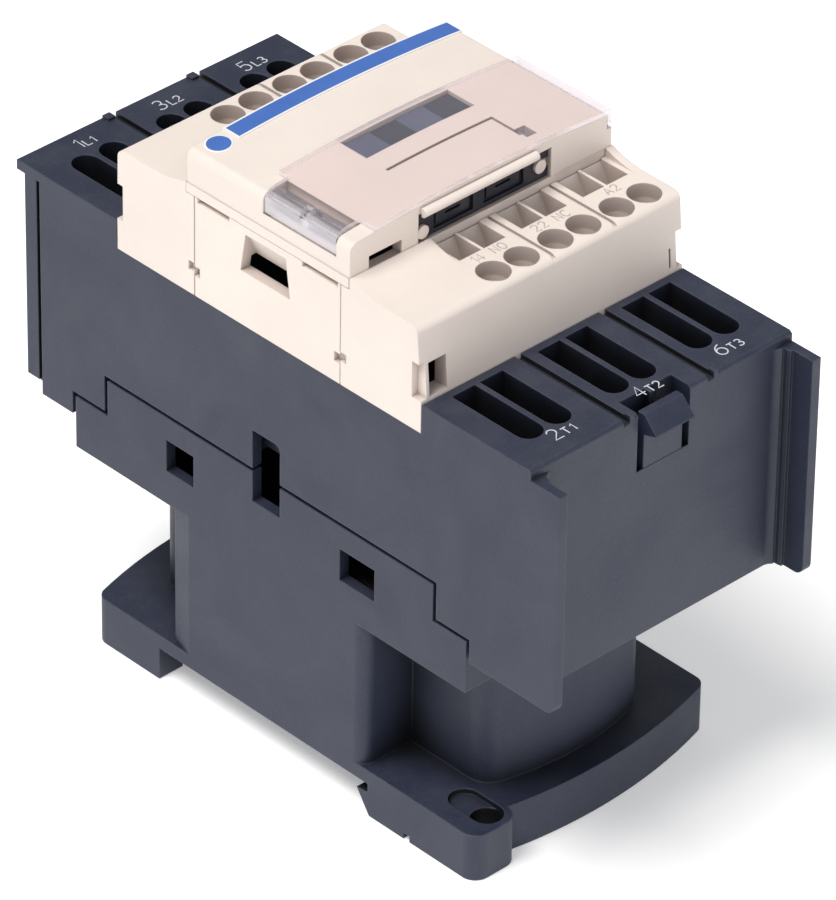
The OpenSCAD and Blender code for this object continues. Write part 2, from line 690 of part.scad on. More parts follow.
module contact_housing() {
    step = seam_gap;
    lip_t = 1.4;
    wing_t = 1.4;
    wing_top = terminal_top_z - lip_t;
    color(dark) difference() {
        union() {
            along_x(-half_w, half_w) polygon([
                [near_end_y, terminal_floor_z], [block_near_y - step, terminal_floor_z],
                [block_near_y - step, seam_step_z + step], [high_near_y - step, seam_step_z + step],
                [high_near_y - step, seam_z + step], [high_far_y + step, seam_z + step],
                [high_far_y + step, seam_step_z + step], [block_far_y + step, seam_step_z + step],
                [block_far_y + step, terminal_floor_z], [far_end_y, terminal_floor_z],
                [far_end_y, wing_top], [far_lip_y, wing_top], [far_lip_y, terminal_top_z],
                [30.4, terminal_top_z], [30.4, skirt_z], [-25.4, skirt_z], [-25.4, terminal_top_z],
                [near_end_y + 0.4, terminal_top_z], [near_end_y, terminal_top_z - 0.4]
            ]);
            // Guard wings at the load end, with a rounded lower corner and a fillet inside
            both_sides() {
                along_x(-half_w, -half_w + wing_t) union() {
                    translate([near_wing_y, terminal_floor_z + 1.5])
                        square([6, wing_top - terminal_floor_z - 1.5]);
                    translate([near_wing_y + 1.5, terminal_floor_z]) square([4.5, 3]);
                    translate([near_wing_y + 1.5, terminal_floor_z + 1.5]) circle(r = 1.5);
                }
                difference() {
                    block(-half_w + 1, -half_w + 3.4, near_end_y - 1.6, near_end_y + eps,
                        terminal_floor_z, wing_top);
                    translate([-half_w + 3.4, near_end_y - 1.6, 0]) cylinder(h = 90, r = 1.6);
                    block(-half_w + 1.9, -half_w + 2.5, near_end_y - 3, near_end_y - 0.5, 0, 90);
                }
            }
            // Line end: a narrower end wall, and guide rails held off the side faces by a groove
            block(-half_w + 2, half_w - 2, far_end_y - eps, far_lip_y - 0.4,
                terminal_floor_z, wing_top + eps);
            both_sides() {
                block(-half_w, -half_w + 1.2, far_end_y + 0.6, 48, terminal_floor_z + 2, wing_top + eps);
                block(-half_w + 1, -half_w + 2.6, far_end_y - eps, 48, terminal_floor_z + 2, wing_top + eps);
            }
            // Rim that drops into the magnet housing
            block(-in_x + 0.1, in_x - 0.1, high_near_y + wall + 0.1, high_far_y - wall - 0.1, 40.2, 43);
            // Small nibs on the two end edges, beside the grooves
            for (x = partition_x) {
                block(x - 1, x + 0.5, far_lip_y - 1.2, far_lip_y, terminal_top_z - 1, terminal_top_z + 0.4);
                block(x + 1.2, x + 2, near_end_y, near_end_y + 1, terminal_top_z - 1, terminal_top_z + 0.25);
            }
        }
        terminal_hollows();
        far_side() terminal_hollows();
        // Arc chambers, one bay per pole on each side of the carrier's well
        block(-in_x, in_x, mid_y - well_half_y, mid_y + well_half_y, 44, 80);
        block(-in_x, partition_x[0] - partition_t / 2, arc_y[0], arc_y[1], 44, 80);
        block(partition_x[0] + partition_t / 2, partition_x[1] - partition_t / 2, arc_y[0], arc_y[1], 44, 80);
        block(partition_x[1] + partition_t / 2, in_x, arc_y[0], arc_y[1], 44, 80);
        block(-in_x, in_x, arc_y[0], arc_y[1], cover_z, 80);
        // The rim is open inside; the floor above it lets the armature, carrier and coil strips through
        block(-in_x + 1.3, in_x - 1.3, high_near_y + wall + 1.3, high_far_y - wall - 1.3, 40, seam_z + step);
        block(-8.3, 8.3, mid_y - 25.9, mid_y + 25.9, 40, 44.6);
        block(-in_x, in_x, mid_y - well_half_y, mid_y + well_half_y, 40, 44.5);
        for (y = strip_notch_y) block(19.8, in_x, y, y + 3.1, 40, 44.5);
        // Side windows that run on into the magnet housing
        both_sides() along_x(-half_w - 1, -in_x + 1.5) union() {
            square_top = 48.4;
            translate([0, 40]) square([5.1, square_top - 41]);
            translate([1, 40]) square([4.1, square_top - 40]);
            translate([1, square_top - 1]) circle(r = 1);
        }
        // Recess, slits and pivot seat of the end latch, with a rib left standing behind it
        difference() {
            block(latch_x[0] - 1.2, latch_x[1] + 1.2, near_end_y - 1, near_end_y + 3.4,
                60, terminal_top_z + 1);
            block(0.1, 0.8, near_end_y + 2.4, near_end_y + 4, 50, terminal_top_z + 2);
        }
        block(latch_x[0] - 1.2, latch_x[1] + 1.2, near_end_y - 1, near_end_y + 1.5, latch_axis_z, 61);
        rod_x(latch_x[0] - 1.2, latch_x[1] + 1.2, latch_axis_y, latch_axis_z, latch_root_r + 0.05);
    }
}

// Floor plates that close the terminal ends from below
module terminal_floor() {
    color(dark) difference() {
        block(-chamber_x + 0.1, chamber_x - 0.1, chamber_y[0] + 0.1, -35.8, terminal_floor_z,
            terminal_floor_z + wall);
        for (x = [-14:4.6:14]) block(x - 1, x + 1, -41, -37.6, terminal_floor_z - 1, terminal_floor_z + 0.4);
    }
}
module near_terminal_floor() terminal_floor();
module far_terminal_floor() far_side() terminal_floor();

module arc_cover() {
    color(dark) difference() {
        block(-in_x + 0.1, in_x - 0.1, arc_y[0] + 0.1, arc_y[1] - 0.1, cover_z, skirt_z - 0.1);
        block(-9.4, 12.2, mid_y - well_half_y, mid_y + well_half_y, 0, 90);
        for (y = strip_notch_y) block(19.8, 22, y, y + 3.1, 0, 90);
        for (x = pole_x, y = [-20, 25]) block(x - 3, x + 3, y - 1, y + 1, 0, 90);
    }
}

// ---- cream front parts ----

// One auxiliary terminal block; face is the distance of its end face from the middle plane
module terminal_block(face) {
    y_face = mid_y - face;
    y_foot = -25.25;
    y_in = -10.9;
    ease = 1.2;
    ramp_y = -18.5;
    ramp_r = 16;
    wire_y = -21.6;
    color(cream) difference() {
        along_x(-half_w, half_w) difference() {
            polygon([
                [y_foot, skirt_z], [y_foot, terminal_top_z + 0.1], [y_face, aux_top_z - ease],
                [y_face, aux_top_z], [ramp_y, aux_top_z], [ramp_y, aux_top_z + 1.3],
                [-12.35, aux_top_z + 1.3], [-12.35, aux_top_z - 0.4], [y_in, aux_top_z - 0.4], [y_in, skirt_z]
            ]);
            // The ramp up to the cover, and the rounded front edge
            translate([ramp_y, aux_top_z + ramp_r]) circle(r = ramp_r, $fn = 96);
            difference() {
                translate([y_face - 1, aux_top_z - ease]) square([ease + 1, ease + 1]);
                translate([y_face + ease, aux_top_z - ease]) circle(r = ease);
            }
        }
        // Hollow for the clamps
        block(-in_x, in_x, y_face + wall, -5, 60, 71.5);
        // The terminals stand on a flat, level with the foot of the ramp
        block(aux_x[0] - 4.3, half_w - 1.2, -19, -12, aux_top_z, aux_top_z + 3);
        for (x = aux_x, s = [-1, 1]) {
            // Square tool hole, with a sloped back that guides the blade
            tx = x + s * (tool_w / 2 + 0.22);
            along_x(tx - tool_w / 2, tx + tool_w / 2) polygon([
                [-17.2, 90], [-17.2, 73.4], [-14.9, 73.4], [-12.1, aux_top_z + 0.2], [-12.1, 90]
            ]);
            block(tx - 1.1, tx + 1.1, -16.7, -15.2, 70, 74);
            // Round wire hole with a funnel
            wx = x + s * wire_pitch / 2;
            translate([wx, wire_y, 76.4]) cylinder(h = 5, d = wire_d);
            translate([wx, wire_y, 73.4]) cylinder(h = 3 + eps, d1 = 2.8, d2 = wire_d);
            translate([wx, wire_y, 70]) cylinder(h = 4, d = 2.8);
        }
        // Grooves between the terminal groups
        for (i = [0:1]) {
            gx = (aux_x[i] + aux_x[i + 1]) / 2;
            block(gx - 0.1, gx + 0.4, -30, -12.4, aux_top_z - 0.5, aux_top_z + 3);
        }
        // Corner notches, with a small window beside the left one and a slit beside the right one
        both_sides() {
            block(-half_w - 1, -half_w + 1, -30, y_face + 0.9, 68, 73.2);
            block(-half_w - 1, -half_w + 0.6, y_in - 1, y_in + 1, 66.9, 68.2);
        }
        block(-half_w + 1.5, -half_w + 4.5, -30, y_face + 2.4, 68.1, 72.9);
        block(half_w - 2.3, half_w - 2, -30, y_face + 0.6, 68.4, 71.2);
    }
}
module near_terminal_block() terminal_block(27);
module far_terminal_block() far_side() terminal_block(27.6);

module centre_frame() {
    y0 = -10.75;
    y1 = 15.7;
    top = aux_top_z - 0.4;
    recess_z = [71.4, 73, 77];
    color(cream) difference() {
        union() {
            both_sides() {
                block(-half_w, -in_x, y0, y1, skirt_z, top);
                block(-in_x - eps, -in_x + 1.8, -3.5, 9, recess_z[1], top);
            }
            for (y = [y0, y1 - 1.4]) block(-in_x - eps, in_x + eps, y, y + 1.4, 75.2, top);
        }
        both_sides() {
            // Finger recess that slopes inwards and opens through the wall along its foot
            intersection() {
                along_x(-half_w - 1, -half_w + 4) polygon([
                    [6.4, recess_z[2]], [-0.9, recess_z[2]], [-1.7, recess_z[0]], [7.3, recess_z[0]]
                ]);
                along_y(-5, 10) polygon([
                    [-half_w - 1, recess_z[0]], [-half_w - 1, recess_z[2]], [-half_w + 0.4, recess_z[2]],
                    [-half_w + 2.4, recess_z[1]], [-half_w + 2.4, recess_z[0]]
                ]);
            }
            // Slits under the front cover
            block(-half_w - 1, -in_x + eps, 9.4, y1 - 0.5, top - 0.7, top + 1);
            block(-half_w - 1, -in_x + eps, -10.3, -3.9, top - 0.7, top + 1);
            // Release notches at the seams
            block(-half_w - 1, -half_w + 0.7, y0 - 1, y0 + 1, 66.4, 67.8);
            block(-half_w - 1, -half_w + 0.7, y1 - 0.9, y1 + 1, 66.4, 67.8);
        }
    }
}

// Section across the raised front: upright sides, round shoulders and a crowned top
module cover_section() {
    side = half_w - 0.15;
    shoulder = 1.2;
    low = aux_top_z + 1.1;
    knee = crown_z - crown_drop - shoulder + 0.12;
    intersection() {
        union() {
            translate([-side, low]) square([2 * side, knee - low]);
            translate([-side + shoulder, low]) square([2 * (side - shoulder), 10]);
            for (s = [-1, 1]) translate([s * (side - shoulder), knee]) circle(r = shoulder);
        }
        translate([0, crown_z - crown_r]) circle(r = crown_r, $fn = 360);
    }
}

module front_cover() {
    y0 = flap_front_y;
    y1 = 17.3;
    ledge_z = aux_top_z - 0.3;
    socket_x = [-10.9, 11.8];
    lip_x = [-10.6, 8.9];
    lip_r = 0.65;
    color(cream) difference() {
        union() {
            block(-half_w, half_w, y0 + 0.1, y1, ledge_z, aux_top_z + 1.1 + eps);
            along_y(y0, y1) cover_section();
            rod_x(lip_x[0], lip_x[1], y0 - 0.35, 84.15, lip_r);
        }
        // Hollow inside, open below
        block(-in_x + 0.4, in_x - 0.4, y0 + 1.6, y1 - wall, ledge_z - 1, 82.9);
        // Indicator window
        block(-8.2, 10.2, -0.15, 4.7, 80, 90);
        // Socket opening under the lip, and the small notch beside it
        block(socket_x[0], socket_x[1], y0 - 0.2, y0 + 2, 79.5, 83.9);
        block(-19.2, -13.7, y0 - 1, y0 + 2, 79.4, 81.5);
        // Slits round the tongue above the socket
        block(-8.2, 9.9, -3.95, -3.5, 80, 90);
        block(9.5, 9.95, -9, -3.6, 80, 90);
        block(9.9, 11.6, -9.9, -7.6, 80, 90);
        // Pocket for the hinge barrel, pin holes and the seat of the flap's right-hand edge
        rod_y(pocket_y[0], pocket_y[1], hinge_x, hinge_z, pocket_r);
        block(hinge_x - 1.2, hinge_x + 0.6, pocket_y[1] - 0.7, pocket_y[1], 78.9, hinge_z);
        rod_y(y0 + 0.7, flap_rear_y, hinge_x, hinge_z, hinge_pin_r);
        block(half_w - 1, half_w + 1, y0 - 1, flap_rear_y + 0.1, 82.4, 90);
    }
    // Round pegs that locate a plug, each on a web from the opening's end wall
    color(cream) for (i = [0, 1]) {
        rod_y(y0 + 0.1, y0 + 1.9, peg_x[i], peg_z[i], peg_r);
        end_x = i == 0 ? socket_x[0] - eps : socket_x[1] + eps;
        block(min(peg_x[i], end_x), max(peg_x[i], end_x), y0 + peg_web_y[i], y0 + 1.9,
            peg_z[i] - 0.6, peg_z[i] + 0.6);
    }
}

module suppressor_socket() {
    y0 = flap_front_y + 0.5;
    color(dark) difference() {
        block(-10.8, 11.7, y0, y0 + 1.4, 79.65, 83.8);
        for (i = [0, 1]) {
            end_x = i == 0 ? -12 : 13;
            rod_y(y0 - 1, y0 + 5, peg_x[i], peg_z[i], peg_r + 0.05);
            block(min(peg_x[i], end_x), max(peg_x[i], end_x), y0 - 1, y0 + 5,
                peg_z[i] - 0.65, peg_z[i] + 0.65);
        }
        // Two framed pads, each with a slot for its pin
        for (x = socket_pin_x) {
            difference() {
                block(x - 3.4, x + 3.4, y0 - 1, y0 + 0.5, 80.2, 83.2);
                block(x - 2.8, x + 2.8, y0 + 0.15, y0 + 1, 80.7, 82.7);
            }
            block(x - 1.3, x + 1.3, y0 - 1, y0 + 5, 81.5, 81.9);
        }
    }
}

// Flat pins that reach up behind the socket
module socket_pins() {
    y0 = flap_front_y + 1.9;
    color(copper) for (x = socket_pin_x) {
        block(x - 1.2, x + 1.2, y0, -8.6, 81.4, 82);
        block(x - 1.2, x + 1.2, -9.2, -8.6, 75.4, 82);
    }
}

module label_band() {
    color(blue) along_y(14.2, 17.25) intersection() {
        difference() {
            translate([0, crown_z - crown_r]) circle(r = crown_r + 0.15, $fn = 360);
            translate([0, crown_z - crown_r]) circle(r = crown_r, $fn = 360);
        }
        translate([-16.4, 80]) square([38.4, 10]);
    }
}

// ---- clear flap ----

module flap_shell(x0, x1) {
    intersection() {
        difference() {
            translate([0, crown_z - crown_r]) circle(r = crown_r + 0.05 + flap_t, $fn = 360);
            translate([0, crown_z - crown_r]) circle(r = crown_r + 0.05, $fn = 360);
        }
        translate([x0, 80]) square([x1 - x0, 10]);
    }
}

module clear_flap() {
    barrel_y = [pocket_y[0] + 0.2, pocket_y[1] - 0.2];
    split_y = -3.4;
    edge_x = half_w - 0.1;
    color([0.9, 0.88, 0.95, 0.4]) difference() {
        union() {
            along_y(flap_front_y, flap_rear_y) flap_shell(-18.3, edge_x);
            along_y(barrel_y[0], barrel_y[1]) flap_shell(hinge_x, 0);
            rod_y(barrel_y[0], split_y - 0.5, hinge_x, hinge_z, barrel_r);
            rod_y(split_y + 0.5, barrel_y[1], hinge_x, hinge_z, barrel_r);
            block(hinge_x - 1.45, hinge_x - 0.9, barrel_y[0], barrel_y[1], hinge_z - 1.9, hinge_z + 0.4);
            block(edge_x - 0.7, edge_x, flap_front_y, flap_rear_y, 82.6, 84.6);
            block(10.1, 11.1, -9.4, -8, 83.4, 85.4);
        }
        rod_y(-20, 20, hinge_x, hinge_z, hinge_bore_r);
    }
}

module flap_hinge_pin() {
    color(steel) rod_y(flap_front_y + 0.8, flap_rear_y - 0.1, hinge_x, hinge_z, hinge_pin_r);
}

// ---- end latch ----

module end_latch() {
    face = near_end_y;
    color(dark) union() {
        rod_x(latch_x[0], latch_x[1], latch_axis_y, latch_axis_z, latch_root_r);
        along_x(latch_x[0], latch_x[1]) polygon([
            [face + 0.03, latch_axis_z + 0.06], [face + 0.03, 63.9], [face - 2.1, 64.6],
            [face + 0.1, 66.9], [face + 1.2, 66.9], [face + 1.2, latch_axis_z + 0.06]
        ]);
    }
}

magnet_housing();
rail_clip();
rail_clip_springs();
core_pad();
fixed_core();
shading_rings();
coil_bobbin();
coil_winding();
coil_terminal_a1();
coil_terminal_a2();
return_springs();
armature();
armature_pin();
contact_carrier();
main_bridge_1();
main_bridge_2();
main_bridge_3();
bridge_spring_1();
bridge_spring_2();
bridge_spring_3();
aux_bridge_no();
aux_bridge_nc();
aux_spring_no();
aux_spring_nc();
load_contact_1();
load_contact_2();
load_contact_3();
line_contact_1();
line_contact_2();
line_contact_3();
load_clamps_1();
load_clamps_2();
load_clamps_3();
line_clamps_1();
line_clamps_2();
line_clamps_3();
aux_contact_13();
aux_contact_14();
aux_contact_21();
aux_contact_22();
aux_clamps_near();
aux_clamps_far();
arc_plates_near();
arc_plates_far();
contact_housing();
near_terminal_floor();
far_terminal_floor();
arc_cover();
near_terminal_block();
far_terminal_block();
centre_frame();
front_cover();
clear_flap();
flap_hinge_pin();
label_band();
suppressor_socket();
socket_pins();
end_latch();
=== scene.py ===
# %% [markdown]
# A three-pole contactor: two dark mouldings below, a cream front above, and a clear flap.
# The CAD model is loaded as it is. Every solid keeps its place and its mesh, so most of this
# lesson is about materials, and about the printed and fine moulded pieces the CAD leaves out.

# %% Load the frame
from math import cos, pi, radians, sin

import bmesh
import bpy
from mathutils import Matrix, Vector


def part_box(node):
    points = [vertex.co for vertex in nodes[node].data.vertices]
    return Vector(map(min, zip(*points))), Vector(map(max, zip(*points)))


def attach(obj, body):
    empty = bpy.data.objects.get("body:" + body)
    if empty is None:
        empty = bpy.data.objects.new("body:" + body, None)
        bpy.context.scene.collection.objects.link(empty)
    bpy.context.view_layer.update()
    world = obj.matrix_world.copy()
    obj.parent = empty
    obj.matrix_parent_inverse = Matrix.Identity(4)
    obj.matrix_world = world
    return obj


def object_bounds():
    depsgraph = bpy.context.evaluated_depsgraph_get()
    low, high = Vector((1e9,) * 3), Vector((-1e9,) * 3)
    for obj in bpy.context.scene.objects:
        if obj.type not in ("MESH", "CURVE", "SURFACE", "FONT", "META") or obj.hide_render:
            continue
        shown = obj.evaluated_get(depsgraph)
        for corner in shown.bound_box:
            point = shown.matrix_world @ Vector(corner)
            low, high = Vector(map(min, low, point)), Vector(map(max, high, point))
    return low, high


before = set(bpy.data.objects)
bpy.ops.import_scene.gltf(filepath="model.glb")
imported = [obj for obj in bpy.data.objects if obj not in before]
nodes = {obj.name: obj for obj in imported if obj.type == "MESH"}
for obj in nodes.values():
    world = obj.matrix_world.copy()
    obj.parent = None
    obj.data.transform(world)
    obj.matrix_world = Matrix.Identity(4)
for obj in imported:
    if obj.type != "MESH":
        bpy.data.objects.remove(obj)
cad_low, cad_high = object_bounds()
MM = 0.001
size = (cad_high - cad_low) / MM
print(f"{len(nodes)} solids, {size.x:.1f} x {size.y:.1f} x {size.z:.1f} mm")

# %% [markdown]
# The camera stands at the near left corner, well above the contactor, and far away with a long
# lens, so that parallel edges stay almost parallel. A small roll tilts the horizon.

# %% Camera
def direction(azimuth, elevation):
    """Unit vector that points away from the contactor, azimuth 0 being its load end."""
    a, e = radians(azimuth), radians(elevation)
    return Vector((sin(a) * cos(e), -cos(a) * cos(e), sin(e)))


def aim_camera(target, azimuth, elevation, distance, lens, roll):
    """Puts the camera on a sphere round the target, looking at it."""
    back = direction(azimuth, elevation)
    camera = bpy.data.objects.new("camera", bpy.data.cameras.new("camera"))
    bpy.context.scene.collection.objects.link(camera)
    camera.data.lens = lens
    camera.data.clip_end = 20
    turn = (-back).to_track_quat("-Z", "Y").to_matrix().to_4x4()
    roll_turn = Matrix.Rotation(radians(roll), 4, "Z")
    camera.matrix_world = Matrix.Translation(target + back * distance) @ turn @ roll_turn
    bpy.context.scene.camera = camera
    return camera


camera = aim_camera(Vector((4.0, 2.6, 34.2)) * MM, azimuth=-43.98, elevation=34.8,
                    distance=1.037, lens=324, roll=0.9)
print("camera at", [round(c, 3) for c in camera.matrix_world.translation])

# %% [markdown]
# The dark plastic reflects only a few percent of the light, so what it shows is mostly the white
# table mirrored in its upright faces, while its tops mirror a dimmer room. The cream plastic shows
# the lamps themselves. So the room is a dim grey, the table is white and a little luminous, and
# one wide sun, high on the left, lights the tops and the long side. A weak one from the front
# lifts the load end. A sun lights the whole table evenly, which a lamp close by would not.

# %% Table, room and sun
def table_top(half_size, gap):
    """A white table with a small gap under the feet, so that no faces coincide."""
    mesh = bpy.data.meshes.new("table_top")
    corners = [(x * half_size, y * half_size) for x, y in ((-1, -1), (1, -1), (1, 1), (-1, 1))]
    mesh.from_pydata([(x, y, -gap) for x, y in corners], [], [(0, 1, 2, 3)])
    table = bpy.data.objects.new("table_top", mesh)
    bpy.context.scene.collection.objects.link(table)
    material = bpy.data.materials.new("white_table")
    material.use_nodes = True
    shader = material.node_tree.nodes["Principled BSDF"]
    shader.inputs["Base Color"].default_value = (0.9, 0.9, 0.9, 1)
    shader.inputs["Roughness"].default_value = 0.9
    shader.inputs["Specular IOR Level"].default_value = 0.1
    shader.inputs["Emission Color"].default_value = (1, 1, 1, 1)
    shader.inputs["Emission Strength"].default_value = 0.32
    mesh.materials.append(material)


def sun(name, azimuth, elevation, spread, strength, color):
    """Parallel light from one side; a wide spread makes soft shadows."""
    light = bpy.data.lights.new(name, "SUN")
    light.angle = radians(spread)
    light.energy = strength
    light.color = color
    lamp = bpy.data.objects.new(name, light)
    lamp.rotation_mode = "QUATERNION"
    lamp.rotation_quaternion = (-direction(azimuth, elevation)).to_track_quat("-Z", "Y")
    bpy.context.scene.collection.objects.link(lamp)


table_top(half_size=3, gap=0.0001)
world = bpy.data.worlds.new("room")
world.use_nodes = True
background = world.node_tree.nodes["Background"]
background.inputs["Color"].default_value = (0.96, 0.98, 1, 1)
background.inputs["Strength"].default_value = 0.34
bpy.context.scene.world = world
bpy.context.scene.view_settings.view_transform = "Standard"
sun("key_sun", azimuth=-98, elevation=66, spread=30, strength=2.75, color=(1, 0.985, 0.965))
sun("front_fill", azimuth=-10, elevation=20, spread=60, strength=0.7, color=(0.97, 0.95, 1))
print("table, room and two suns")

# %% [markdown]
# Effects that several materials share are node groups. A group takes numbers and gives only
# values, masks, colours or normals; the shader itself stays in the material. These helpers write
# the nodes that come back again and again. Patterns are placed by where a point is on the
# contactor, in metres, so a scale is the number of waves in a metre.

# %% Helpers for node groups
FLOAT, VECTOR = "NodeSocketFloat", "NodeSocketVector"


def new_group(name, inputs, outputs):
    """A shader node group with named sockets: inputs are (name, kind, default)."""
    group = bpy.data.node_groups.new(name, "ShaderNodeTree")
    for label, kind, default in inputs:
        socket = group.interface.new_socket(label, in_out="INPUT", socket_type=kind)
        socket.default_value = default
    for label, kind in outputs:
        group.interface.new_socket(label, in_out="OUTPUT", socket_type=kind)
    return group, group.nodes.new("NodeGroupInput"), group.nodes.new("NodeGroupOutput")


def join(tree, value, socket):
    """Links a socket to another one, or sets it to a number or a colour."""
    if isinstance(value, (int, float)):
        socket.default_value = value
    elif isinstance(value, tuple):
        socket.default_value = (*value, 1)
    else:
        tree.links.new(value, socket)


def math_node(tree, operation, *values):
    """A Math node; each value is a socket or a number."""
    node = tree.nodes.new("ShaderNodeMath")
    node.operation = operation
    for value, socket in zip(values, node.inputs):
        join(tree, value, socket)
    return node.outputs[0]


def place(tree, axis=None):
    """Where a point is on the contactor, in metres: all of it, or along one axis."""
    where = tree.nodes.new("ShaderNodeTexCoord").outputs["Object"]
    if axis is None:
        return where
    parts = tree.nodes.new("ShaderNodeSeparateXYZ")
    tree.links.new(where, parts.inputs[0])
    return parts.outputs[axis]


def noise(tree, scale, detail, roughness, distortion=0.0, vector=None):
    """A cloudy pattern; scale is in waves per metre."""
    node = tree.nodes.new("ShaderNodeTexNoise")
    tree.links.new(vector or place(tree), node.inputs["Vector"])
    labels = ("Scale", "Detail", "Roughness", "Distortion")
    for label, value in zip(labels, (scale, detail, roughness, distortion)):
        join(tree, value, node.inputs[label])
    return node.outputs[0]


def stretch(tree, value, low, high, to_low=0.0, to_high=1.0):
    """Stretches a value from one range to another, clamped."""
    node = tree.nodes.new("ShaderNodeMapRange")
    for number, socket in zip((value, low, high, to_low, to_high), node.inputs):
        join(tree, number, socket)
    return node.outputs[0]


print("helpers ready")

# %% [markdown]
# The housings come out of steel moulds whose faces were spark-eroded, so the plastic has a fine
# pebbled grain, a few hundredths of a millimetre high. It is wanted on every moulding, each with
# its own scale and strength. The group gives a height, the same noise as a mask, and a slow
# unevenness, and the material decides what to do with them.

# %% Mould grain
def make_mould_grain():
    """Fine pebbles on a slow wave."""
    group, given, result = new_group(
        "mould_grain",
        [("Scale", FLOAT, 4000.0), ("Unevenness", FLOAT, 60.0)],
        [("Height", FLOAT), ("Grain", FLOAT), ("Patches", FLOAT)],
    )
    grain = noise(group, given.outputs["Scale"], 3.0, 0.6)
    patches = noise(group, given.outputs["Unevenness"], 4.0, 0.55)
    waves = math_node(group, "MULTIPLY", patches, 0.35)
    group.links.new(math_node(group, "ADD", grain, waves), result.inputs["Height"])
    group.links.new(grain, result.inputs["Grain"])
    group.links.new(patches, result.inputs["Patches"])
    return group


mould_grain = make_mould_grain()
print("group", mould_grain.name)

# %% [markdown]
# No moulded edge is sharp. The Bevel node bends the shading normal near an edge, as a small
# radius would, so that edges catch the light. Comparing that normal with the face's own normal
# also tells where the edges are, which gives the mask for slightly paler edges, partly rubbed wear
# and partly a painted highlight.

# %% Soft edges, and paler edges of wear and painted highlight
def make_soft_edges():
    """The softened normal and a mask of the edges."""
    group, given, result = new_group(
        "soft_edges",
        [("Radius", FLOAT, 0.00025), ("Breakup", FLOAT, 900.0)],
        [("Normal", VECTOR), ("Edge", FLOAT)],
    )
    bevel = group.nodes.new("ShaderNodeBevel")
    bevel.samples = 4
    group.links.new(given.outputs["Radius"], bevel.inputs["Radius"])
    face = group.nodes.new("ShaderNodeNewGeometry")
    likeness = group.nodes.new("ShaderNodeVectorMath")
    likeness.operation = "DOT_PRODUCT"
    group.links.new(bevel.outputs[0], likeness.inputs[0])
    group.links.new(face.outputs["Normal"], likeness.inputs[1])
    bend = math_node(group, "SUBTRACT", 1.0, likeness.outputs["Value"])
    broken = math_node(group, "MULTIPLY", bend, noise(group, given.outputs["Breakup"], 4.0, 0.65))
    group.links.new(stretch(group, broken, 0.0, 0.2), result.inputs["Edge"])
    group.links.new(bevel.outputs[0], result.inputs["Normal"])
    return group


soft_edges = make_soft_edges()
print("group", soft_edges.name)

# %% [markdown]
# Handling leaves a little dust and a faint greasy film. One group gives both: a low, cloudy dust
# mask that is stronger on faces that look up, and a smear mask that only changes the gloss.

# %% Dust and handling
def make_handling():
    """Dust on what looks up, and smears in the gloss."""
    group, given, result = new_group(
        "handling",
        [("Scale", FLOAT, 120.0), ("Amount", FLOAT, 0.5)],
        [("Dust", FLOAT), ("Smear", FLOAT)],
    )
    facing = group.nodes.new("ShaderNodeSeparateXYZ")
    group.links.new(group.nodes.new("ShaderNodeTexCoord").outputs["Normal"], facing.inputs[0])
    up = math_node(group, "MAXIMUM", facing.outputs["Z"], 0.15)
    cloud = stretch(group, noise(group, given.outputs["Scale"], 6.0, 0.7), 0.42, 1.0, 0.0, 0.58)
    settled = math_node(group, "MULTIPLY", cloud, up)
    dust = math_node(group, "MULTIPLY", settled, given.outputs["Amount"])
    group.links.new(dust, result.inputs["Dust"])
    group.links.new(noise(group, 45.0, 5.0, 0.6, 1.5), result.inputs["Smear"])
    return group


handling = make_handling()
print("group", handling.name)

# %% [markdown]
# Deep narrow slots look much darker than the faces around them, since little light finds its way
# in and out, and here that shade is painted into the colour. Ambient occlusion tells how much of
# the sky a point sees within a few millimetres, and turned round it is a mask of the hollows for
# the painted shade. Only the solid itself counts, or else every part near another one, or near the
# table, would go dark.

# %% Painted shade in hollows
def make_hollow_shade():
    """A mask of deep places, where shade is painted."""
    group, given, result = new_group("hollow_shade", [("Reach", FLOAT, 0.008)], [("Hollow", FLOAT)])
    sky = group.nodes.new("ShaderNodeAmbientOcclusion")
    sky.samples = 6
    sky.only_local = True
    group.links.new(given.outputs["Reach"], sky.inputs["Distance"])
    painted_shade = stretch(group, sky.outputs["AO"], 0.35, 0.85, 1.0, 0.0)
    group.links.new(painted_shade, result.inputs["Hollow"])
    return group


hollow_shade = make_hollow_shade()
print("group", hollow_shade.name)

# %% [markdown]
# The groups make a moulded plastic. Its base colour goes through mixes: towards the colour of the
# fine speckle, towards a slightly darker tone in slow patches, towards the paler edge, which is
# partly rubbed wear and partly a painted highlight, then a little dust, and on the housings and
# the front a painted shade in the hollows. The bump takes the grain's height, and starts from the
# softened normal. The small raised numbers are cream too, painted greyer as shade so they stand
# out.

# %% Moulded plastics
DUST = (0.55, 0.54, 0.52)


def new_material(name):
    """A material with only a Principled shader and an output."""
    material = bpy.data.materials.new(name)
    material.use_nodes = True
    return material, material.node_tree, material.node_tree.nodes["Principled BSDF"]


def use_group(tree, group, **values):
    """Places a group in a material and sets its inputs."""
    node = tree.nodes.new("ShaderNodeGroup")
    node.node_tree = group
    for label, value in values.items():
        node.inputs[label].default_value = value
    return node.outputs


def mix_color(tree, factor, a, b):
    """Mixes colours a and b; each may be a socket or a colour."""
    node = tree.nodes.new("ShaderNodeMix")
    node.data_type = "RGBA"
    for value, socket in zip((factor, a, b), (node.inputs[0], node.inputs[6], node.inputs[7])):
        join(tree, value, socket)
    return node.outputs[2]


def bump(tree, shader, height, distance, normal=None):
    """Gives the shader a relief of some height in metres."""
    node = tree.nodes.new("ShaderNodeBump")
    node.inputs["Distance"].default_value = distance
    tree.links.new(height, node.inputs["Height"])
    if normal is not None:
        tree.links.new(normal, node.inputs["Normal"])
    tree.links.new(node.outputs[0], shader.inputs["Normal"])


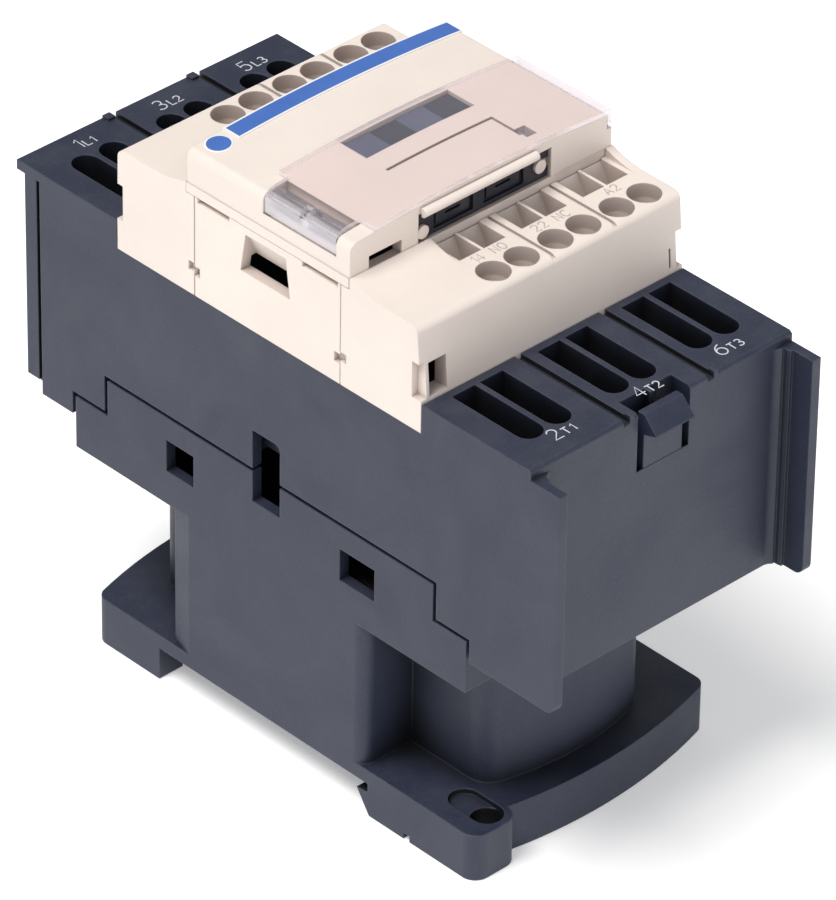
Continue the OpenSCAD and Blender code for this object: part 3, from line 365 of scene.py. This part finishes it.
def moulded_plastic(name, base, speckle, edge_wear_and_highlight, rough, grain_scale, grain_height, edge_radius, dust,
                    hollow_shade_color=None, base_socket=None):
    """A pebbled moulding with speckles, rubbed edges and a little dust."""
    material, tree, shader = new_material(name)
    grain = use_group(tree, mould_grain, Scale=grain_scale, Unevenness=70.0)
    edges = use_group(tree, soft_edges, Radius=edge_radius)
    touch = use_group(tree, handling, Amount=dust)
    color = base_socket(tree) if base_socket else base
    color = mix_color(tree, stretch(tree, grain["Grain"], 0.54, 0.72, 0.0, 0.75), color, speckle)
    shade = tuple(0.8 * c for c in base)
    color = mix_color(tree, stretch(tree, grain["Patches"], 0.3, 0.7, 0.0, 0.3), color, shade)
    # Paler edges: partly rubbed wear, partly a painted highlight.
    color = mix_color(tree, edges["Edge"], color, edge_wear_and_highlight)
    color = mix_color(tree, touch["Dust"], color, DUST)
    # Painted shade: the hollows get a darker colour.
    if hollow_shade_color is not None:
        color = mix_color(tree, use_group(tree, hollow_shade)["Hollow"], color, hollow_shade_color)
    tree.links.new(color, shader.inputs["Base Color"])
    gloss = stretch(tree, touch["Smear"], 0.3, 0.7, rough - 0.06, rough + 0.08)
    tree.links.new(gloss, shader.inputs["Roughness"])
    bump(tree, shader, grain["Height"], grain_height, edges["Normal"])
    return material


# The hollow colours of the dark housing and the cream front below are painted shade.
dark_plastic = moulded_plastic(
    "dark_housing_plastic", base=(0.019, 0.025, 0.05), speckle=(0.042, 0.048, 0.076),
    edge_wear_and_highlight=(0.085, 0.098, 0.135), rough=0.5, grain_scale=3200.0, grain_height=0.00003,
    edge_radius=0.0003, dust=0.12, hollow_shade_color=(0.002, 0.002, 0.003))
dark_fitting = moulded_plastic(
    "dark_fitting_plastic", base=(0.011, 0.014, 0.025), speckle=(0.02, 0.025, 0.038),
    edge_wear_and_highlight=(0.05, 0.06, 0.085), rough=0.42, grain_scale=5200.0, grain_height=0.000012,
    edge_radius=0.0002, dust=0.04)
cream_plastic = moulded_plastic(
    "cream_front_plastic", base=(0.82, 0.725, 0.655), speckle=(0.87, 0.78, 0.715),
    edge_wear_and_highlight=(0.9, 0.83, 0.77), rough=0.5, grain_scale=4200.0, grain_height=0.00001,
    edge_radius=0.00025, dust=0.06, hollow_shade_color=(0.5, 0.42, 0.38))
# The raised numbers' cream is painted greyer as shade, so that they stand out from the flat.
shade_painted_cream = moulded_plastic(
    "cream_lettering_plastic", base=(0.5, 0.44, 0.4), speckle=(0.42, 0.37, 0.34),
    edge_wear_and_highlight=(0.6, 0.54, 0.49), rough=0.5, grain_scale=4200.0, grain_height=0.00001,
    edge_radius=0.00008, dust=0.06)
bobbin_nylon = moulded_plastic(
    "black_bobbin_nylon", base=(0.012, 0.012, 0.014), speckle=(0.04, 0.04, 0.04),
    edge_wear_and_highlight=(0.04, 0.04, 0.042), rough=0.45, grain_scale=2500.0, grain_height=0.00002,
    edge_radius=0.0002, dust=0.05)
plastics = (dark_plastic, dark_fitting, cream_plastic, shade_painted_cream, bobbin_nylon)
print("plastics:", *[plastic.name for plastic in plastics])

# %% [markdown]
# The top of the carrier shows in the window as a row of four blocks, light and dark in turn, so
# that one can see the contactor pull in. The blocks belong to one moulding, so their colours come
# from the place along X: the distance from the row's left end, counted in blocks, is odd or even.

# %% Carrier with its indicator blocks
BLOCK_START, BLOCK_WIDTH, BLOCK_FOOT = -8.05 * MM, 4.525 * MM, 80 * MM


def indicator_colors(tree):
    """Light and dark blocks high up, plain dark plastic below."""
    along = math_node(tree, "SUBTRACT", place(tree, "X"), BLOCK_START)
    count = math_node(tree, "FLOOR", math_node(tree, "DIVIDE", along, BLOCK_WIDTH))
    odd = math_node(tree, "FLOORED_MODULO", count, 2.0)
    blocks = mix_color(tree, odd, (0.105, 0.125, 0.2), (0.03, 0.038, 0.062))
    high = math_node(tree, "GREATER_THAN", place(tree, "Z"), BLOCK_FOOT)
    return mix_color(tree, high, (0.02, 0.024, 0.036), blocks)


carrier_plastic = moulded_plastic(
    "carrier_plastic", base=(0.03, 0.038, 0.062), speckle=(0.09, 0.1, 0.14),
    edge_wear_and_highlight=(0.12, 0.14, 0.19), rough=0.45, grain_scale=5200.0, grain_height=0.00001,
    edge_radius=0.0002, dust=0.02, base_socket=indicator_colors)
print("carrier blocks are", BLOCK_WIDTH / MM, "mm wide")

# %% [markdown]
# The flap is clear polycarbonate with a faint violet cast, and its face is never quite flat. A
# real glass shader bends light, and a thin plate then looks dark at its cut edges. The flap is so
# thin that the bending hardly shows, so here a tinted transparent shader is mixed with a pale
# glossy one. The gloss has a share of 4 percent, seen straight on, and rises to all of it along
# the face. The Fresnel node would give total reflection wherever a ray leaves the plate, so the
# share comes from the facing value of Layer Weight to the fifth power. Faces that do not look up,
# such as the cut edges and the round hinge, show half of the gloss, because there light is thrown
# about inside the plastic and comes out as glints.

# %% Clear plastic
CLEAR_TINT, GLOSS_COLOR = (0.985, 0.966, 0.971, 1), (0.93, 0.9, 0.95, 1)
EDGE_SHARE, FACE_SHARE, STRAIGHT_ON_SHARE = 0.5, 0.02, 0.04


def clear_plastic_material():
    """Transparent in front, glossy along the face and at the edges."""
    material, tree, shader = new_material("clear_flap_plastic")
    shader.inputs["Metallic"].default_value = 0.35
    shader.inputs["Base Color"].default_value = GLOSS_COLOR
    touch = use_group(tree, handling, Scale=200.0)
    tree.links.new(stretch(tree, touch["Smear"], 0.35, 0.7, 0.06, 0.2), shader.inputs["Roughness"])
    bump(tree, shader, noise(tree, 160.0, 2.0, 0.5), 0.00008)
    clear = tree.nodes.new("ShaderNodeBsdfTransparent")
    clear.inputs["Color"].default_value = CLEAR_TINT
    facing = tree.nodes.new("ShaderNodeSeparateXYZ")
    tree.links.new(tree.nodes.new("ShaderNodeTexCoord").outputs["Normal"], facing.inputs[0])
    flat = math_node(tree, "ABSOLUTE", facing.outputs["Z"])
    edge_share = stretch(tree, flat, 0.35, 0.95, EDGE_SHARE, FACE_SHARE)
    grazing = tree.nodes.new("ShaderNodeLayerWeight")
    grazing.inputs["Blend"].default_value = 0.5
    steep = math_node(tree, "POWER", grazing.outputs["Facing"], 5.0)
    face_share = stretch(tree, steep, 0.0, 1.0, STRAIGHT_ON_SHARE, 1.0)
    share = math_node(tree, "MAXIMUM", face_share, edge_share)
    blend = tree.nodes.new("ShaderNodeMixShader")
    tree.links.new(share, blend.inputs[0])
    tree.links.new(clear.outputs[0], blend.inputs[1])
    tree.links.new(shader.outputs[0], blend.inputs[2])
    tree.links.new(blend.outputs[0], tree.nodes["Material Output"].inputs["Surface"])
    return material


clear_plastic = clear_plastic_material()
print("material", clear_plastic.name)

# %% [markdown]
# The band along the far edge of the front is a strip of blue film with a narrow white border. The
# border is where the nearest of the strip's four edges is closer than a quarter of a millimetre.
# Printed film is smoother than the moulding under it, with a trace of the roller in its gloss.

# %% Printed films
def printed_film(name, ink, paper, is_paper):
    """A smooth film with two inks; is_paper gives the mask of the pale one."""
    material, tree, shader = new_material(name)
    pale_ink = tuple(min(1.0, 1.25 * c + 0.01) for c in ink)
    fading = stretch(tree, noise(tree, 260.0, 4.0, 0.6), 0.35, 0.7, 0.0, 0.35)
    faded = mix_color(tree, fading, ink, pale_ink)
    dots = stretch(tree, noise(tree, 7000.0, 2.0, 0.5), 0.6, 0.75, 0.0, 0.25)
    color = mix_color(tree, dots, faded, tuple(0.7 * c for c in ink))
    tree.links.new(mix_color(tree, is_paper(tree), color, paper), shader.inputs["Base Color"])
    touch = use_group(tree, handling, Scale=300.0)
    tree.links.new(stretch(tree, touch["Smear"], 0.3, 0.7, 0.3, 0.48), shader.inputs["Roughness"])
    bump(tree, shader, noise(tree, 2600.0, 2.0, 0.5), 0.000006)
    return material


def edge_distance(tree, axis, low, high):
    """How far a point is from the nearer of two ends along an axis."""
    after = math_node(tree, "SUBTRACT", place(tree, axis), low)
    before = math_node(tree, "SUBTRACT", high, place(tree, axis))
    return math_node(tree, "MINIMUM", after, before)


BAND_BORDER = 0.25 * MM
band_low, band_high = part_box("label_band")


def band_border(tree):
    """White close to the strip's edges."""
    nearest = math_node(tree, "MINIMUM", edge_distance(tree, "X", band_low.x, band_high.x),
                        edge_distance(tree, "Y", band_low.y, band_high.y))
    return math_node(tree, "LESS_THAN", nearest, BAND_BORDER)


BLUE_INK, WHITE_FILM = (0.052, 0.142, 0.46), (0.86, 0.86, 0.87)
band_film = printed_film("blue_band_film", BLUE_INK, WHITE_FILM, band_border)
print("material", band_film.name)

# %% [markdown]
# Inside there are bars and bridges of copper, springs and clamps of stainless steel, plated steel
# plates and brass pins. They share one effect: drawn or rolled metal has fine lines along its
# length and stains in patches. A noise stretched along Y gives the lines.

# %% Rolled metal
def make_rolled_metal():
    """Fine lines along Y, and stains."""
    group, given, result = new_group(
        "rolled_metal",
        [("Line Scale", FLOAT, 9000.0), ("Stain Scale", FLOAT, 500.0)],
        [("Lines", FLOAT), ("Stain", FLOAT)],
    )
    squeeze = group.nodes.new("ShaderNodeVectorMath")
    squeeze.operation = "MULTIPLY"
    group.links.new(place(group), squeeze.inputs[0])
    squeeze.inputs[1].default_value = (1, 0.04, 1)
    lines = noise(group, given.outputs["Line Scale"], 3.0, 0.6, vector=squeeze.outputs[0])
    group.links.new(lines, result.inputs["Lines"])
    stain = noise(group, given.outputs["Stain Scale"], 5.0, 0.65, 0.6)
    group.links.new(stain, result.inputs["Stain"])
    return group


SILVER = (0.82, 0.81, 0.79)


def bare_metal(name, clean, stained, rough, relief, stain_scale=500.0, tips=None):
    """A rolled metal with stains; tips gives the mask of silver contact tips."""
    material, tree, shader = new_material(name)
    shader.inputs["Metallic"].default_value = 1.0
    metal = use_group(tree, rolled_metal, **{"Stain Scale": stain_scale})
    color = mix_color(tree, stretch(tree, metal["Stain"], 0.4, 0.7, 0.0, 0.8), clean, stained)
    if tips is not None:
        color = mix_color(tree, tips(tree), color, SILVER)
    tree.links.new(color, shader.inputs["Base Color"])
    dull = stretch(tree, metal["Stain"], 0.3, 0.75, rough - 0.08, rough + 0.15)
    streaks = stretch(tree, metal["Lines"], 0.3, 0.7, -0.04, 0.04)
    tree.links.new(math_node(tree, "ADD", dull, streaks), shader.inputs["Roughness"])
    bump(tree, shader, metal["Lines"], relief)
    return material


rolled_metal = make_rolled_metal()
print("group", rolled_metal.name)

# %% [markdown]
# The contact bars and bridges carry silver tips where they touch. All tips sit at the same
# distance from the middle plane, so the mask is a band in that distance: 5.8 to 9.7 mm from it on
# the power contacts, and 5.6 to 8.6 mm on the small ones.

# %% Metals
MIDDLE_Y = 2.5 * MM


def tip_mask(near, far):
    """Returns a maker of the mask of points near to far millimetres from the middle plane."""
    def make(tree):
        away = math_node(tree, "ABSOLUTE", math_node(tree, "SUBTRACT", place(tree, "Y"), MIDDLE_Y))
        past_near = math_node(tree, "GREATER_THAN", away, near * MM)
        before_far = math_node(tree, "LESS_THAN", away, far * MM)
        return math_node(tree, "MULTIPLY", past_near, before_far)
    return make


COPPER, TARNISH = (0.78, 0.44, 0.28), (0.36, 0.17, 0.10)
power_copper = bare_metal("power_copper", COPPER, TARNISH, rough=0.34, relief=0.000008,
                          tips=tip_mask(5.8, 9.7))
small_copper = bare_metal("small_contact_copper", COPPER, TARNISH, rough=0.32, relief=0.000006,
                          tips=tip_mask(5.6, 8.6))
plain_copper = bare_metal("shading_ring_copper", COPPER, TARNISH, rough=0.3, relief=0.000006)
pin_brass = bare_metal("pin_brass", (0.8, 0.62, 0.33), (0.45, 0.31, 0.14), rough=0.28,
                       relief=0.000005)
clamp_steel = bare_metal("clamp_steel", (0.62, 0.62, 0.63), (0.42, 0.4, 0.38), rough=0.3,
                         relief=0.000006)
spring_steel = bare_metal("spring_wire_steel", (0.56, 0.57, 0.59), (0.3, 0.29, 0.28), rough=0.26,
                          relief=0.000003, stain_scale=900.0)
plate_steel = bare_metal("arc_plate_steel", (0.5, 0.51, 0.53), (0.28, 0.25, 0.22), rough=0.42,
                         relief=0.00001, stain_scale=300.0)
print("seven metals")

# %% [markdown]
# Both halves of the magnet are stacks of half-millimetre sheets riveted together, and their cut
# edges show as fine lines. Distance along X, folded back and forth with a ping-pong, gives one
# ridge for each sheet. The coil is wound from thin enamelled wire, whose turns lie side by side
# up the bobbin, so the same fold along Z gives the turns.

# %% Laminated core and coil winding
SHEET, TURN = 0.5 * MM, 0.28 * MM


def ridges(tree, axis, pitch):
    """A row of ridges across an axis, from 0 in the grooves to 1 on the crests."""
    fold = math_node(tree, "PINGPONG", place(tree, axis), pitch / 2)
    return math_node(tree, "DIVIDE", fold, pitch / 2)


def laminated_steel():
    """Cut edges of stacked sheets, stained between them."""
    material, tree, shader = new_material("laminated_core_steel")
    shader.inputs["Metallic"].default_value = 1.0
    sheets = ridges(tree, "X", SHEET)
    stain = noise(tree, 420.0, 5.0, 0.65, 0.8)
    spread = stretch(tree, stain, 0.45, 0.7, 0.0, 0.85)
    color = mix_color(tree, spread, (0.46, 0.46, 0.48), (0.24, 0.19, 0.15))
    color = mix_color(tree, stretch(tree, sheets, 0.0, 0.3, 0.7, 0.0), color, (0.1, 0.09, 0.085))
    tree.links.new(color, shader.inputs["Base Color"])
    tree.links.new(stretch(tree, stain, 0.3, 0.75, 0.32, 0.6), shader.inputs["Roughness"])
    bump(tree, shader, sheets, 0.00003)
    return material


def winding_wire():
    """Turns of red-brown enamelled wire."""
    material, tree, shader = new_material("enamelled_wire")
    turns = ridges(tree, "Z", TURN)
    shade = stretch(tree, noise(tree, 700.0, 4.0, 0.6), 0.35, 0.7, 0.0, 0.6)
    color = mix_color(tree, shade, (0.42, 0.12, 0.04), (0.2, 0.05, 0.02))
    color = mix_color(tree, stretch(tree, turns, 0.0, 0.45, 0.8, 0.0), color, (0.03, 0.01, 0.006))
    tree.links.new(color, shader.inputs["Base Color"])
    tree.links.new(stretch(tree, shade, 0.0, 0.6, 0.22, 0.38), shader.inputs["Roughness"])
    bump(tree, shader, turns, 0.0001)
    return material


core_steel = laminated_steel()
coil_wire = winding_wire()
print("sheets of", SHEET / MM, "mm and turns of", TURN / MM, "mm")

# %% [markdown]
# The pad under the core is black rubber: dull, a little dusty with moulding talc, and pitted.

# %% Rubber
def pad_rubber():
    """Dull pitted black with traces of talc."""
    material, tree, shader = new_material("black_pad_rubber")
    pits = noise(tree, 3000.0, 4.0, 0.7)
    talc = stretch(tree, noise(tree, 200.0, 6.0, 0.7), 0.45, 0.8, 0.0, 0.35)
    color = mix_color(tree, talc, (0.012, 0.012, 0.012), (0.12, 0.12, 0.115))
    tree.links.new(color, shader.inputs["Base Color"])
    tree.links.new(stretch(tree, pits, 0.3, 0.7, 0.7, 0.95), shader.inputs["Roughness"])
    bump(tree, shader, pits, 0.00004)
    return material


rubber = pad_rubber()
print("material", rubber.name)

# %% [markdown]
# Every solid gets its material by name. Parts that come in sets, such as the three poles, are
# numbered, so loops spell their names. The list printed at the end has to be empty.

# %% Give every solid its material
def paint(material, *names):
    """Puts a material in all slots of some CAD nodes."""
    for name in names:
        slots = nodes[name].data.materials
        if not slots:
            slots.append(material)
        for i in range(len(slots)):
            slots[i] = material


POLES = (1, 2, 3)
paint(dark_plastic, "magnet_housing", "rail_clip", "contact_housing", "near_terminal_floor",
      "far_terminal_floor", "arc_cover", "end_latch")
paint(dark_fitting, "suppressor_socket")
paint(cream_plastic, "near_terminal_block", "far_terminal_block", "centre_frame", "front_cover")
paint(carrier_plastic, "contact_carrier")
paint(clear_plastic, "clear_flap")
paint(band_film, "label_band")
paint(bobbin_nylon, "coil_bobbin")
paint(rubber, "core_pad")
paint(core_steel, "fixed_core", "armature")
paint(coil_wire, "coil_winding")
paint(plain_copper, "shading_rings", "coil_terminal_a1", "coil_terminal_a2")
paint(pin_brass, "socket_pins")
power_parts = ("main_bridge", "load_contact", "line_contact")
paint(power_copper, *[f"{kind}_{i}" for kind in power_parts for i in POLES])
small_contacts = [f"aux_contact_{i}" for i in (13, 14, 21, 22)]
paint(small_copper, "aux_bridge_no", "aux_bridge_nc", *small_contacts)
paint(clamp_steel, "aux_clamps_near", "aux_clamps_far", "armature_pin", "flap_hinge_pin",
      *[f"{kind}_clamps_{i}" for kind in ("load", "line") for i in POLES])
paint(spring_steel, "rail_clip_springs", "return_springs", "aux_spring_no", "aux_spring_nc",
      *[f"bridge_spring_{i}" for i in POLES])
paint(plate_steel, "arc_plates_near", "arc_plates_far")
unpainted = [name for name, node in nodes.items() if not node.data.materials]
print("solids without a material:", unpainted)

# %% [markdown]
# The terminals are numbered. The numbers on a contactor are drawn with one even stroke, so each
# character here is a few strokes on a field 4 wide and 6 high, with arcs where it is round. The
# strokes become curves with a round section, flattened, so that the print lies on the plastic like
# a film of ink, and the moulded numbers rise from it.

# %% Stroke characters
def arc(x, y, rx, ry, start, end, steps=14):
    """Points on an arc of an ellipse, in degrees anticlockwise from +X."""
    angles = [radians(start + (end - start) * i / steps) for i in range(steps + 1)]
    return [(x + rx * cos(a), y + ry * sin(a)) for a in angles]


CHARACTERS = {
    "1": [[(0.9, 4.5), (2.4, 6), (2.4, 0)]],
    "2": [arc(1.95, 4.25, 1.75, 1.75, 165, -35) + [(0.1, 0), (3.9, 0)]],
    "3": [arc(1.9, 4.5, 1.6, 1.5, 150, -90) + arc(1.9, 1.55, 1.95, 1.55, 90, -150)],
    "4": [[(4, 1.7), (0, 1.7), (2.9, 6), (2.9, 0)]],
    "5": [[(3.6, 6), (0.7, 6), (0.45, 3.3)] + arc(1.9, 1.95, 1.95, 1.95, 130, -145)],
    "6": [arc(4.2, 2.1, 4.15, 3.9, 100, 180) + arc(2, 2, 1.95, 2, 180, -180, 24)],
    "T": [[(0, 6), (4, 6)], [(2, 6), (2, 0)]],
    "L": [[(0.4, 6), (0.4, 0), (3.6, 0)]],
    "A": [[(0, 0), (2, 6), (4, 0)], [(0.8, 2), (3.2, 2)]],
    "N": [[(0.2, 0), (0.2, 6), (3.8, 0), (3.8, 6)]],
    "O": [arc(2, 3, 2, 3, 90, -270, 24)],
    "C": [arc(2.2, 3, 2.2, 3, 50, 310, 20)],
}
FIELD_WIDTH, FIELD_HEIGHT, GAP = 4, 6, 1.4
NARROW = {"1": 3.6, "L": 4.8}


def stroke_mark(name, text, heights, middle, stroke, rise, material):
    """Writes text along +X, centred on a point of a flat top; heights has one for each letter."""
    data = bpy.data.curves.new(name, "CURVE")
    data.dimensions = "3D"
    data.bevel_depth = stroke / 2
    data.bevel_resolution = 2
    data.use_fill_caps = True
    pen = 0.0
    for character, height in zip(text, heights):
        unit = height / FIELD_HEIGHT
        for points in CHARACTERS.get(character, []):
            spline = data.splines.new("POLY")
            spline.points.add(len(points) - 1)
            for point, (x, y) in zip(spline.points, points):
                point.co = (pen + x * unit, y * unit, 0, 1)
        pen += NARROW.get(character, FIELD_WIDTH + GAP) * unit
    width = pen - unit * GAP
    line = bpy.data.objects.new(name + "_line", data)
    mesh = bpy.data.meshes.new_from_object(line)
    bpy.data.objects.remove(line)
    for vertex in mesh.vertices:
        x, y, z = vertex.co
        vertex.co = middle + Vector((x - width / 2, y - heights[0] / 2, z * 2 * rise / stroke))
    for polygon in mesh.polygons:
        polygon.use_smooth = True
    mesh.name = name
    mesh.materials.clear()
    mesh.materials.append(material)
    mark = bpy.data.objects.new(name, mesh)
    bpy.context.scene.collection.objects.link(mark)
    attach(mark, "base")


print(len(CHARACTERS), "characters")

# %% [markdown]
# The power terminals carry printed numbers in white ink: a tall first figure, and a smaller letter
# and figure after it. They stand on the roof of the housing beyond the terminal slots, a little
# off the middle of each pole.

# %% Printed numbers of the power terminals
def print_ink():
    """White ink, a little thin in places."""
    material, tree, shader = new_material("white_print_ink")
    thin = stretch(tree, noise(tree, 5000.0, 3.0, 0.6), 0.5, 0.75, 0.0, 0.35)
    color = mix_color(tree, thin, (0.6, 0.62, 0.66), (0.25, 0.27, 0.31))
    tree.links.new(color, shader.inputs["Base Color"])
    tree.links.new(stretch(tree, thin, 0.0, 0.35, 0.42, 0.6), shader.inputs["Roughness"])
    bump(tree, shader, noise(tree, 4000.0, 2.0, 0.5), 0.00001)
    return material


white_ink = print_ink()
TERMINAL_TOP = 67.6 * MM
POWER_HEIGHTS, POWER_STROKE, INK_RISE = (2.15 * MM, 1.35 * MM, 1.4 * MM), 0.21 * MM, 0.04 * MM
POWER_MARKS = {
    "2T1": (-13.8, -40.7), "4T2": (0.4, -41.1), "6T3": (14.3, -41.4),
    "1L1": (-13.5, 46.9), "3L2": (0.8, 46.8), "5L3": (15.2, 46.4),
}
for text, (x, y) in POWER_MARKS.items():
    middle = Vector((x * MM, y * MM, TERMINAL_TOP))
    stroke_mark("mark_" + text, text, POWER_HEIGHTS, middle, POWER_STROKE, INK_RISE, white_ink)
print(len(POWER_MARKS), "printed numbers")

# %% [markdown]
# The small terminals have raised numbers between the tool holes and the wire holes. The far row
# is the near row mirrored in the middle plane. The block is highest where its ramp meets the
# cover, and the flat with the terminals lies a step below that.

# %% Moulded numbers of the small terminals
STEP_BELOW_RAMP = 1.23 * MM
AUX_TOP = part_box("near_terminal_block")[1].z - STEP_BELOW_RAMP
AUX_MARK_Y, AUX_HEIGHT, AUX_STROKE, AUX_RISE = -18.3 * MM, 1.4 * MM, 0.2 * MM, 0.06 * MM
AUX_MARKS = {
    "14 NO": (-4.7, False), "22 NC": (5.9, False), "A2": (16.5, False),
    "13 NO": (-4.7, True), "21 NC": (5.9, True), "A1": (16.5, True),
}
for text, (x, at_far_side) in AUX_MARKS.items():
    y = 2 * MIDDLE_Y - AUX_MARK_Y if at_far_side else AUX_MARK_Y
    name = "mark_" + text.replace(" ", "_")
    middle = Vector((x * MM, y, AUX_TOP))
    stroke_mark(name, text, [AUX_HEIGHT] * len(text), middle, AUX_STROKE, AUX_RISE, shade_painted_cream)
print("small terminal tops at", round(AUX_TOP / MM, 2), "mm")

# %% [markdown]
# Beside the band sits a round sticker, blue with a white rim. It is a thin disc with a softened
# edge, built ring by ring and bent to the crown of the cover, whose height falls with the square
# of the distance from the middle.

# %% Round sticker
DOT_MIDDLE, DOT_RADIUS, DOT_THICKNESS = Vector((-18.9, 15.25, 0)) * MM, 1.85 * MM, 0.08 * MM
CROWN_TOP, CROWN_RADIUS = 85.3 * MM, 253.6 * MM


def dot_rim(tree):
    """White where the distance from the middle of the sticker is large."""
    parts = [math_node(tree, "SUBTRACT", place(tree, axis), start)
             for axis, start in zip("XY", DOT_MIDDLE)]
    squares = [math_node(tree, "MULTIPLY", part, part) for part in parts]
    away = math_node(tree, "SQRT", math_node(tree, "ADD", *squares))
    return math_node(tree, "GREATER_THAN", away, DOT_RADIUS - BAND_BORDER)


def round_sticker(steps=64):
    """A disc of rings; each has a share of the radius and of the thickness."""
    profile = [(0.5, 1.0), (0.9, 1.0), (0.985, 0.9), (1.0, 0.5), (1.0, 0.0)]
    mesh = bmesh.new()
    rings = []
    for share, lift in profile:
        ring = []
        for i in range(steps):
            a = 2 * pi * i / steps
            x = DOT_MIDDLE.x + DOT_RADIUS * share * cos(a)
            y = DOT_MIDDLE.y + DOT_RADIUS * share * sin(a)
            z = CROWN_TOP - x * x / (2 * CROWN_RADIUS) + DOT_THICKNESS * lift
            ring.append(mesh.verts.new((x, y, z)))
        rings.append(ring)
    mesh.faces.new(rings[0])
    for inner, outer in zip(rings, rings[1:]):
        for i in range(steps):
            j = (i + 1) % steps
            mesh.faces.new((inner[i], outer[i], outer[j], inner[j]))
    mesh.faces.new(reversed(rings[-1]))
    for face in mesh.faces:
        face.smooth = len(face.verts) == 4
    data = bpy.data.meshes.new("round_sticker")
    mesh.to_mesh(data)
    mesh.free()
    data.materials.append(printed_film("sticker_film", BLUE_INK, WHITE_FILM, dot_rim))
    sticker = bpy.data.objects.new("round_sticker", data)
    bpy.context.scene.collection.objects.link(sticker)
    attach(sticker, "base")


round_sticker()
print("sticker", round(DOT_RADIUS * 2 / MM, 1), "mm across")
